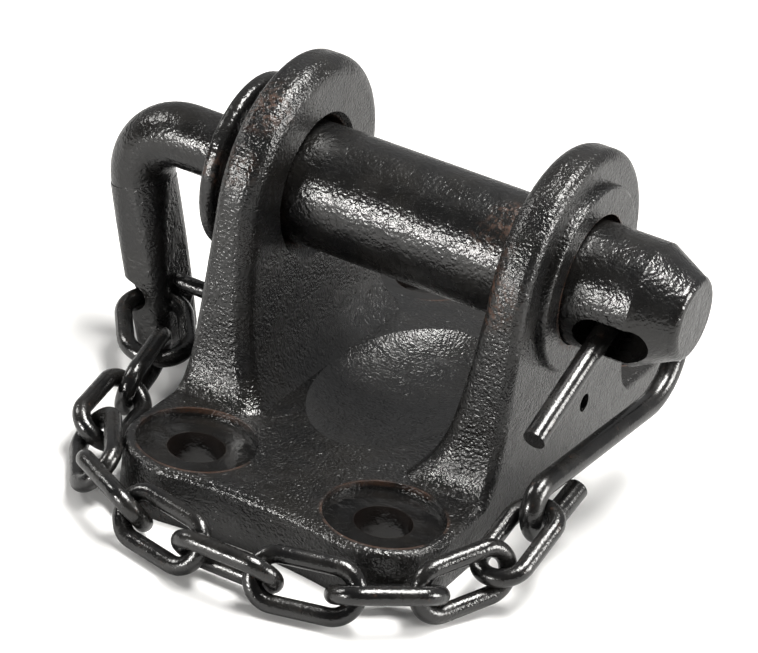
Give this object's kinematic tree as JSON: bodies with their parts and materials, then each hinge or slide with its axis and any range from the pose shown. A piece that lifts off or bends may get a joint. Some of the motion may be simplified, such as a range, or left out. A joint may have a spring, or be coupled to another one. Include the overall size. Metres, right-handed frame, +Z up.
{
  "type": "pin trailer coupling",
  "caption": "Black cast base with two ears, a drop-handle coupling pin between them, a spring wire clip and a retaining chain.",
  "frame": {"origin": "centre of the bolt pattern on the base plate's mounting face", "axes": "+X along the pin towards the clip, +Y towards the back, +Z up from the mounting face towards the pin"},
  "size_m": [0.1713, 0.1807, 0.0976],
  "materials": {
    "housing_paint": "gloss black paint over a cast skin",
    "pin_paint": "gloss black paint over a forged skin",
    "clip_paint": "smooth gloss black",
    "chain_paint": "smooth gloss black"
  },
  "bodies": {
    "base": {"housing": "housing_paint", "chain_link_01": "chain_paint", "chain_link_02": "chain_paint", "chain_link_03": "chain_paint", "chain_link_04": "chain_paint", "chain_link_05": "chain_paint", "chain_link_06": "chain_paint", "chain_link_07": "chain_paint", "chain_link_08": "chain_paint", "chain_link_09": "chain_paint", "chain_link_10": "chain_paint", "chain_link_11": "chain_paint"},
    "pin": {"pin": "pin_paint"},
    "clip": {"clip": "clip_paint"}
  },
  "joints": [
    {"name": "pin_slide", "type": "slide", "parent": "base", "child": "pin", "axis": [1, 0, 0], "range_m": [-0.006, 0.003], "deforming": ["chain_link_01", "chain_link_02", "chain_link_03", "chain_link_04", "chain_link_09", "chain_link_10", "chain_link_11"]},
    {"name": "clip_swing", "type": "hinge", "parent": "pin", "child": "clip", "pos_m": [0.0566, 0.00137, 0.06071], "axis": [0, -0.9033, -0.4289], "range_deg": [-8, 95], "deforming": ["chain_link_10", "chain_link_11"]}
  ]
}
